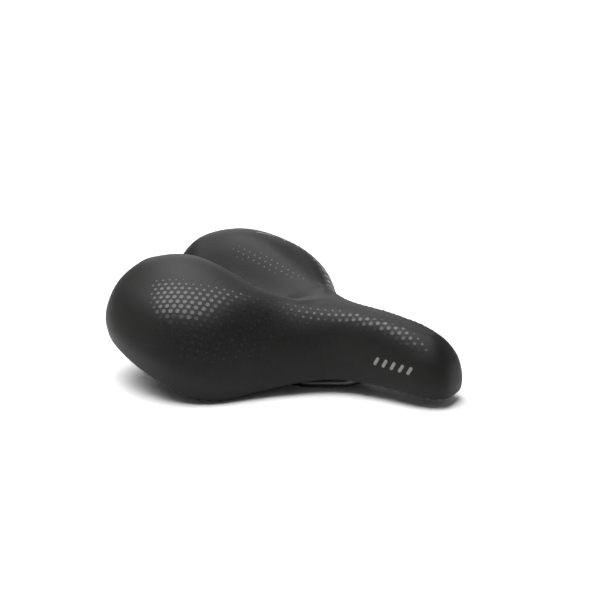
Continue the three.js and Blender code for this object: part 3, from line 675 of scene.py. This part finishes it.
@dataclass(frozen=True)
class DotBand:
    """A band of dots along the saddle.

    `lean` is the band's facing, in degrees up from straight out sideways. Each row of `table` gives a
    station X, the band's middle and half width measured across the facing, all in mm, and a dot size from
    0 to 1.
    `along` and `across` are the steps in mm from a dot to its neighbours in a row and in the next row. The
    higher `fade` is, the nearer to the band's edge the dots keep their size.
    """

    lean: float
    table: tuple[tuple[float, float, float, float], ...]
    along: tuple[float, float] = (4.85, 1.4)
    across: tuple[float, float] = (4.0, -3.0)
    fade: float = 3.5

    def size(self, x: float, height: float) -> float:
        """A dot's size from 0 to 1 at a station and a height across the band; 0 outside it."""
        stations = [row[0] for row in self.table]
        if not stations[0] <= x <= stations[-1]:
            return 0.0
        columns = ([row[k] for row in self.table] for k in (1, 2, 3))
        middle, half, share = (float(np.interp(x, stations, column)) for column in columns)
        away = abs(height - middle) / half
        return share * (1 - away ** self.fade) if away < 1 else 0.0


@dataclass
class DotFields(Fitted):
    """Small glossy raised hexagons, in rows laid along each shoulder of the seat."""

    tree: Optional[BVHTree] = None
    proud: float = 0.16 * MM
    sunk: float = 0.4 * MM
    largest: float = 2.05 * MM
    smallest: float = 0.45 * MM
    taper: float = 0.86
    rows: int = 30
    columns: int = 45
    shoulder: DotBand = DotBand(50.0, (
        (-76.0, -8.0, 4.0, 0.4), (-66.0, -15.7, 15.0, 0.8), (-58.0, -21.0, 22.0, 0.95),
        (-47.0, -25.0, 26.0, 1.0), (-38.0, -25.8, 28.5, 1.0), (-28.0, -22.5, 31.0, 0.96),
        (-19.0, -18.5, 31.5, 0.88), (-7.0, -11.0, 28.0, 0.76), (2.0, -4.5, 24.0, 0.66),
        (8.4, 1.5, 19.5, 0.6), (15.5, 7.0, 15.5, 0.54), (22.0, 13.7, 11.5, 0.5),
        (30.0, 18.0, 9.0, 0.54), (38.0, 21.0, 7.8, 0.64), (46.0, 23.2, 7.4, 0.76),
        (57.0, 24.2, 7.8, 0.86), (68.0, 24.3, 7.9, 0.9), (80.0, 23.9, 8.2, 0.9),
        (93.0, 20.8, 7.8, 0.86), (104.0, 17.6, 6.4, 0.7), (116.0, 13.6, 3.0, 0.4),
    ))
    inner_slope: DotBand = DotBand(130.0, (
        (-72.0, -70.0, 2.6, 0.12), (-58.0, -67.5, 5.6, 0.2), (-46.0, -66.0, 6.2, 0.24),
        (-34.0, -64.5, 6.0, 0.24), (-21.0, -63.0, 5.6, 0.2), (-6.0, -60.0, 2.6, 0.12),
    ))

    def build(self) -> list[bpy.types.Object]:
        """Makes the field of dots on each side."""
        return [self._field(side) for side in Side]

    def _field(self, side: Side) -> bpy.types.Object:
        """One side's dots, each seated square to the skin under it."""
        bm = bmesh.new()
        for band in (self.shoulder, self.inner_slope):
            self._fill(bm, band, side)
        return self.dress(object_from(bm, f"gloss_dots_{side.word}", 20.0), GlossDot(), "seat")

    def _fill(self, bm: bmesh.types.BMesh, band: DotBand, side: Side) -> None:
        """Adds one band's dots to a side's mesh.

        Args:
            bm: The mesh that takes the dots.
            band: The band to fill.
            side: The side of the saddle it is on.
        """
        lean = math.radians(band.lean)
        outward = Vector((0.0, side.value * math.cos(lean), math.sin(lean)))
        across = Vector((0.0, -side.value * math.sin(lean), math.cos(lean)))
        for row in range(-self.rows, self.rows + 1):
            for column in range(-self.columns, self.columns + 1):
                x = column * band.along[0] + row * band.across[0]
                height = column * band.along[1] + row * band.across[1]
                size = band.size(x, height)
                if size <= 0:
                    continue
                start = Vector((x, 0.0, 0.0)) * MM + across * (height * MM) + outward * 0.4
                spot, normal, _, _ = self.tree.ray_cast(start, -outward)
                if spot is None or normal.dot(outward) < 0.25:
                    continue
                self._seat_dot(bm, spot, normal, self.smallest + (self.largest - self.smallest) * size)

    def _seat_dot(self, bm: bmesh.types.BMesh, spot: Vector, normal: Vector, radius: float) -> None:
        """Adds one six-sided stud with sloping sides, its foot just under the skin."""
        turn = normal.to_track_quat("Z", "X").to_matrix().to_4x4()
        middle = spot + normal * ((self.proud - self.sunk) / 2)
        bmesh.ops.create_cone(
            bm,
            cap_ends=True,
            segments=6,
            radius1=radius,
            radius2=radius * self.taper,
            depth=self.proud + self.sunk,
            matrix=Matrix.Translation(middle) @ turn,
        )


@dataclass
class PrintedMarks(Fitted):
    """Plain printed bars and a round spot, laid on the skin."""

    tree: Optional[BVHTree] = None
    thickness: float = 0.12 * MM

    def build(self) -> None:
        """Prints the bars on the side of the nose and the small bar and spot on the left lobe."""
        grey = FlatPrint("grey_print", (0.2, 0.2, 0.195))
        orange = FlatPrint("orange_print", (0.3, 0.12, 0.02))
        inwards = Vector((0.0, 1.0, 0.0))
        leaning = Vector((0.47, 0.0, 0.88))
        for i in range(5):
            start = Vector((77.5 + 6.7 * i, -200.0, 29.8 - 0.62 * i)) * MM
            bar = self._stadium(f"nose_bar_{i + 1}", start, inwards, 6.6, 2.4, leaning)
            self.dress(bar, grey, "seat")
        down = Vector((0.0, 0.0, -1.0))
        outwards = Vector((0.8, 0.6, 0.0))
        lobe_bar = self._stadium("lobe_bar", Vector((-55.5, 48.0, 200.0)) * MM, down, 15.0, 1.3, outwards)
        self.dress(lobe_bar, grey, "seat")
        spot = self._stadium("lobe_spot", Vector((-43.5, 56.0, 200.0)) * MM, down, 3.2, 3.19, outwards)
        self.dress(spot, orange, "seat")

    def _stadium(
        self, name: str, start: Vector, aim: Vector, length: float, width: float, heading: Vector
    ) -> bpy.types.Object:
        """A round-ended bar laid on the skin.

        Args:
            name: The piece's name.
            start: A point outside the skin.
            aim: The direction from there to the skin.
            length: The bar's length in mm.
            width: Its width in mm.
            heading: The direction it runs in, before it is laid down on the skin.

        Returns:
            The bar as a thin closed piece.
        """
        spot, normal, _, _ = self.tree.ray_cast(start, aim)
        along = (heading - normal * heading.dot(normal)).normalized()
        across = normal.cross(along)
        bm = bmesh.new()
        bmesh.ops.create_grid(bm, x_segments=24, y_segments=8, size=1.0)
        straight = 1.0 - width / length
        for vert in bm.verts:
            past = max(0.0, abs(vert.co.x) - straight) / max(1.0 - straight, 1e-6)
            squeeze = math.sqrt(max(0.0, 1.0 - past * past))
            flat = along * (vert.co.x * length * MM / 2) + across * (vert.co.y * squeeze * width * MM / 2)
            near, facing, _, _ = self.tree.find_nearest(spot + flat)
            vert.co = near + facing * self.thickness
        bmesh.ops.remove_doubles(bm, verts=bm.verts, dist=0.01 * MM)
        bmesh.ops.recalc_face_normals(bm, faces=bm.faces[:])
        if sum((f.normal.dot(normal) for f in bm.faces)) < 0:
            bmesh.ops.reverse_faces(bm, faces=bm.faces[:])
        bmesh.ops.solidify(bm, geom=bm.faces[:], thickness=2 * self.thickness)
        return object_from(bm, name, 60.0)


# ---- Shell, rails and hardware -------------------------------------------------------------------


@dataclass
class Hardware(Fitted):
    """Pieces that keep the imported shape, with their hard edges eased and their round faces smooth.

    Faces that meet at less than `flatness` degrees are joined first.
    """

    flatness: float = 0.8

    def eased(
        self, name: str, node: str, finish: object, body: str, ease: float = 0.3, corner: float = 35.0
    ) -> None:
        """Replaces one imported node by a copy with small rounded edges.

        Args:
            name: The new piece's name.
            node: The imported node.
            finish: Its finish.
            body: The body it rides on.
            ease: The width of the rounded edges in mm; 0 leaves them sharp.
            corner: The least turn, in degrees, that counts as an edge.
        """
        bm = merged(self.frame, node)
        if ease > 0:
            flat = math.radians(self.flatness)
            bmesh.ops.dissolve_limit(bm, angle_limit=flat, verts=bm.verts[:], edges=bm.edges[:])
            limit = math.radians(corner)
            hard = [e for e in bm.edges if len(e.link_faces) == 2 and e.calc_face_angle(0) > limit]
            bmesh.ops.bevel(
                bm, geom=hard, offset=ease * MM, offset_type="OFFSET", affect="EDGES", segments=2,
                profile=0.5, clamp_overlap=True, material=-1,
            )
        self.dress(object_from(bm, name, corner), finish, body, (node,))


@dataclass
class BaseShell(Hardware):
    """The plastic shell under the foam."""

    def build(self) -> None:
        """Dresses the shell."""
        shell = MouldedPlastic("shell_plastic", "shell", (0.012, 0.0125, 0.013), (0.04, 0.041, 0.042))
        self.eased("shell_moulding", "base_shell", shell, "seat", ease=0.0)


@dataclass
class Rails(Fitted):
    """Two round steel rails, bent in one piece from the nose block to the rear bridge.

    `route` holds the corners of the left rail: X, Y and Z in mm. `bend` is the length of straight wire taken
    up on each side of a corner.
    """

    radius: float = 3.5 * MM
    bend: float = 9 * MM
    bend_steps: int = 12
    route: tuple[tuple[float, float, float], ...] = ()

    def build(self) -> None:
        """Draws both rails along their packed routes."""
        for side in Side:
            obj = self._rail(side)
            self.dress(obj, PaintedSteel(), "undercarriage", (f"rail_{side.word}",))

    def _rail(self, side: Side) -> bpy.types.Object:
        """One rail as a round closed tube."""
        points = self._points([Vector((x, side.value * y, z)) * MM for x, y, z in self.route])
        curve = bpy.data.curves.new("rail", "CURVE")
        curve.dimensions = "3D"
        curve.bevel_depth = self.radius
        curve.bevel_resolution = 7
        curve.use_fill_caps = True
        spline = curve.splines.new("POLY")
        spline.points.add(len(points) - 1)
        for place, point in zip(spline.points, points):
            place.co = (*point, 1.0)
        helper = bpy.data.objects.new("rail", curve)
        bpy.context.scene.collection.objects.link(helper)
        bm = baked(helper)
        bpy.data.objects.remove(helper)
        bmesh.ops.remove_doubles(bm, verts=bm.verts, dist=1e-6)
        bmesh.ops.recalc_face_normals(bm, faces=bm.faces[:])
        return object_from(bm, f"steel_rail_{side.word}", 50.0)

    def _points(self, corners: list[Vector]) -> list[Vector]:
        """Straight runs between the corners, each inner corner eased by a curve of `bend` on both sides."""
        points = [corners[0]]
        for before, corner, after in zip(corners, corners[1:], corners[2:]):
            start = corner + (before - corner).normalized() * self.bend
            end = corner + (after - corner).normalized() * self.bend
            for step in range(self.bend_steps + 1):
                t = step / self.bend_steps
                points.append(start * (1 - t) ** 2 + corner * (2 * t * (1 - t)) + end * t ** 2)
        return [*points, corners[-1]]


@dataclass
class Undercarriage(Hardware):
    """The nose block, rear bridge, straps, rivets, bushes and dampers.

    `damper_outline` is half of a damper's section: radius and height in mm. `squeeze` would be the share of
    its height that a damper keeps when the seat is fully down; it is not used.
    """

    damper_outline: tuple[tuple[float, float], ...] = (
        (4.0, 0.0), (9.6, 0.0), (10.6, 0.35), (11.9, 1.9), (12.4, 3.05), (11.9, 4.2), (10.9, 5.7),
        (10.7, 6.1), (10.9, 6.5), (11.9, 8.0), (12.4, 9.15), (11.9, 10.3), (10.9, 11.8), (10.7, 12.2),
        (10.9, 12.6), (11.9, 14.1), (12.4, 15.25), (11.9, 16.4), (10.6, 17.95), (9.6, 18.3), (4.0, 18.3),
    )
    damper_sides: int = 56
    squeeze: float = 0.81

    def build(self) -> None:
        """Dresses every piece that stays still when the seat tilts."""
        block = MouldedPlastic("block_plastic", "nose_block", (0.014, 0.014, 0.0145), (0.045, 0.045, 0.046))
        zinc = PlainMetal("zinc_plate", "zinc_steel", (0.6, 0.61, 0.62), (0.42, 0.42, 0.4))
        nylon = MouldedPlastic("nylon_bush", "white_nylon", (0.66, 0.64, 0.58), (0.5, 0.48, 0.43), 0.42)
        self.eased("pivot_block", "nose_block", block, "undercarriage", 0.6)
        self.eased("bridge_plate", "rear_bridge", PaintedSteel(), "undercarriage", 0.35)
        for side in Side:
            self.eased(f"strap_{side.word}", f"rail_strap_{side.word}", zinc, "undercarriage", 0.25)
            self.eased(f"bush_{side.word}", f"guide_bush_{side.word}", nylon, "undercarriage", 0.2)
            for place in ("inner", "outer"):
                node = f"strap_rivet_{side.word}_{place}"
                self.eased(f"rivet_{side.word}_{place}", node, zinc, "undercarriage", 0.15)
            self._damper(side)

    def _damper(self, side: Side) -> None:
        """One waisted rubber damper."""
        node = f"damper_{side.word}"
        low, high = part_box(node)
        bm = bmesh.new()
        profile = [bm.verts.new((r * MM, 0.0, low.z + z * MM)) for r, z in self.damper_outline]
        edges = [bm.edges.new(pair) for pair in zip(profile, [*profile[1:], profile[0]])]
        bmesh.ops.spin(
            bm, geom=[*profile, *edges], cent=(0, 0, 0), axis=(0, 0, 1), angle=2 * math.pi,
            steps=self.damper_sides, use_merge=True,
        )
        bmesh.ops.remove_doubles(bm, verts=bm.verts, dist=1e-6)
        bmesh.ops.recalc_face_normals(bm, faces=bm.faces[:])
        centre = (low + high) / 2
        bmesh.ops.translate(bm, vec=(centre.x, centre.y, 0.0), verts=bm.verts)
        shape = object_from(bm, f"rubber_{node}", 50.0)
        obj = self.dress(shape, DamperRubber(), "undercarriage", (node,))
        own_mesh(obj)


@dataclass
class SeatHardware(Hardware):
    """The pivot pin, damper bolts, washers, inserts and hem staples."""

    staples: int = 18

    def build(self) -> None:
        """Dresses every metal piece that moves with the seat."""
        zinc = PlainMetal("zinc_plate", "zinc_steel", (0.6, 0.61, 0.62), (0.42, 0.42, 0.4))
        brass = PlainMetal("turned_brass", "brass", (0.62, 0.44, 0.17), (0.36, 0.25, 0.1), 0.3)
        self.eased("pin", "pivot_pin", zinc, "seat", 0.25)
        self.eased("clip", "pin_clip", zinc, "seat", 0.15)
        for side in Side:
            self.eased(f"bolt_{side.word}", f"damper_bolt_{side.word}", zinc, "seat", 0.25)
            self.eased(f"washer_{side.word}", f"bolt_washer_{side.word}", zinc, "seat", 0.2)
            self.eased(f"insert_{side.word}", f"shell_insert_{side.word}", brass, "seat", 0.15)
        for i in range(self.staples):
            node = f"hem_staple_{i + 1:02d}"
            self.eased(f"staple_{i + 1:02d}", node, zinc, "seat", 0.18)


# ---- Studio --------------------------------------------------------------------------------------


@dataclass(frozen=True)
class Lamp:
    """A rectangular lamp.

    Its place, the point it faces and its width and depth are in metres, its power is in watts, and `spread`
    is the cone its light keeps to, in degrees.
    """

    name: str
    place: tuple[float, float, float]
    aim: tuple[float, float, float]
    size: tuple[float, float]
    power: float
    spread: float = 180.0


@dataclass
class Studio:
    """A pale floor, soft light from above and behind, and the camera."""

    azimuth: float = math.radians(30.0)
    elevation: float = math.radians(17.6)
    distance: float = 1.393
    target: Vector = field(default_factory=lambda: Vector((0.0, 0.0, 0.0365)))
    lens: float = 113.25
    shift: tuple[float, float] = (0.0046, 0.0461)
    ambient: float = 0.2
    floor_size: float = 4.0
    floor_tone: float = 0.88
    lamps: tuple[Lamp, ...] = (
        Lamp("overhead", (-0.3, -0.05, 1.5), (0.0, 0.0, 0.0), (2.0, 1.8), 60.0),
        Lamp("backdrop", (-0.3, 2.7, 1.8), (-0.3, 2.7, 0.0), (5.0, 2.4), 110.0, 80.0),
        Lamp("far_floor", (-0.3, -3.0, 1.8), (-0.3, -3.0, 0.0), (5.0, 2.4), 90.0, 80.0),
        Lamp("rim", (-1.4, 2.1, 1.0), (0.0, 0.0, 0.05), (1.6, 1.0), 10.0),
    )

    def build(self) -> None:
        """Makes the floor, the lights and the camera."""
        self._camera()
        self._floor()
        for lamp in self.lamps:
            self._light(lamp)
        self._surroundings()
        bpy.context.scene.view_settings.view_transform = "Standard"

    def _surroundings(self) -> None:
        """A dim white light from all round that looks white where nothing stands in front of it."""
        world = bpy.data.worlds.new("studio")
        bpy.context.scene.world = world
        world.use_nodes = True
        tree = world.node_tree
        shade = next(n for n in tree.nodes if n.type == "BACKGROUND")
        shade.inputs["Color"].default_value = (1.0, 1.0, 1.0, 1.0)
        seen = tree.nodes.new("ShaderNodeLightPath")
        strength = tree.nodes.new("ShaderNodeMapRange")
        strength.inputs["To Min"].default_value = self.ambient
        strength.inputs["To Max"].default_value = 1.0
        tree.links.new(seen.outputs["Is Camera Ray"], strength.inputs["Value"])
        tree.links.new(strength.outputs["Result"], shade.inputs["Strength"])

    def _camera(self) -> None:
        """The camera, looking at the target from the front right."""
        back = Vector((
            math.sin(self.azimuth) * math.cos(self.elevation),
            -math.cos(self.azimuth) * math.cos(self.elevation),
            math.sin(self.elevation),
        ))
        data = bpy.data.cameras.new("camera")
        data.lens = self.lens
        data.sensor_width = 36.0
        data.shift_x, data.shift_y = self.shift
        data.clip_end = 20.0
        camera = bpy.data.objects.new("camera", data)
        camera.location = self.target + back * self.distance
        camera.rotation_euler = back.to_track_quat("Z", "Y").to_euler()
        bpy.context.scene.collection.objects.link(camera)
        bpy.context.scene.camera = camera

    def _floor(self) -> None:
        """A wide plain floor under the rails."""
        bm = bmesh.new()
        bmesh.ops.create_grid(bm, x_segments=8, y_segments=8, size=self.floor_size)
        floor = object_from(bm, "floor")
        tone = (self.floor_tone, self.floor_tone, self.floor_tone, 1.0)
        shader = Shader("pale_floor", {"Base Color": tone, "Roughness": 0.9})
        shader.surface.inputs["Specular IOR Level"].default_value = 0.1
        floor.data.materials.append(shader.material)

    @staticmethod
    def _light(lamp: Lamp) -> None:
        """Hangs one lamp."""
        data = bpy.data.lights.new(lamp.name, "AREA")
        data.shape = "RECTANGLE"
        data.size, data.size_y = lamp.size
        data.energy = lamp.power
        data.spread = math.radians(lamp.spread)
        hung = bpy.data.objects.new(lamp.name, data)
        hung.location = lamp.place
        hung.rotation_euler = (Vector(lamp.place) - Vector(lamp.aim)).to_track_quat("Z", "Y").to_euler()
        bpy.context.scene.collection.objects.link(hung)


def rail_route() -> tuple[tuple[float, float, float], ...]:
    """The left rail's corners, from the nose block back to the rear bridge."""
    return (
        (98.1, 7.0, 21.846),
        (75.1, 7.0, 21.846),
        (52.1, 9.0, 6.0),
        (18.0, 22.0, 3.5),
        (-52.0, 22.0, 3.5),
        (-75.0, 22.5, 14.2),
        (-103.0, 22.5, 14.2),
    )


def main() -> None:
    """Builds the whole saddle in its studio."""
    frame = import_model()
    materials: dict[str, bpy.types.Material] = {}
    cover = PaddedCover(frame, materials).build()
    skin = baked(cover)
    tree = BVHTree.FromBMesh(skin)
    skin.free()
    DotFields(frame, materials, tree).build()
    PrintedMarks(frame, materials, tree).build()
    BaseShell(frame, materials).build()
    Rails(frame, materials, route=rail_route()).build()
    Undercarriage(frame, materials).build()
    SeatHardware(frame, materials).build()
    Studio().build()


if __name__ == "__main__":
    logging.basicConfig(level=logging.INFO, format="%(name)s: %(message)s")
    main()
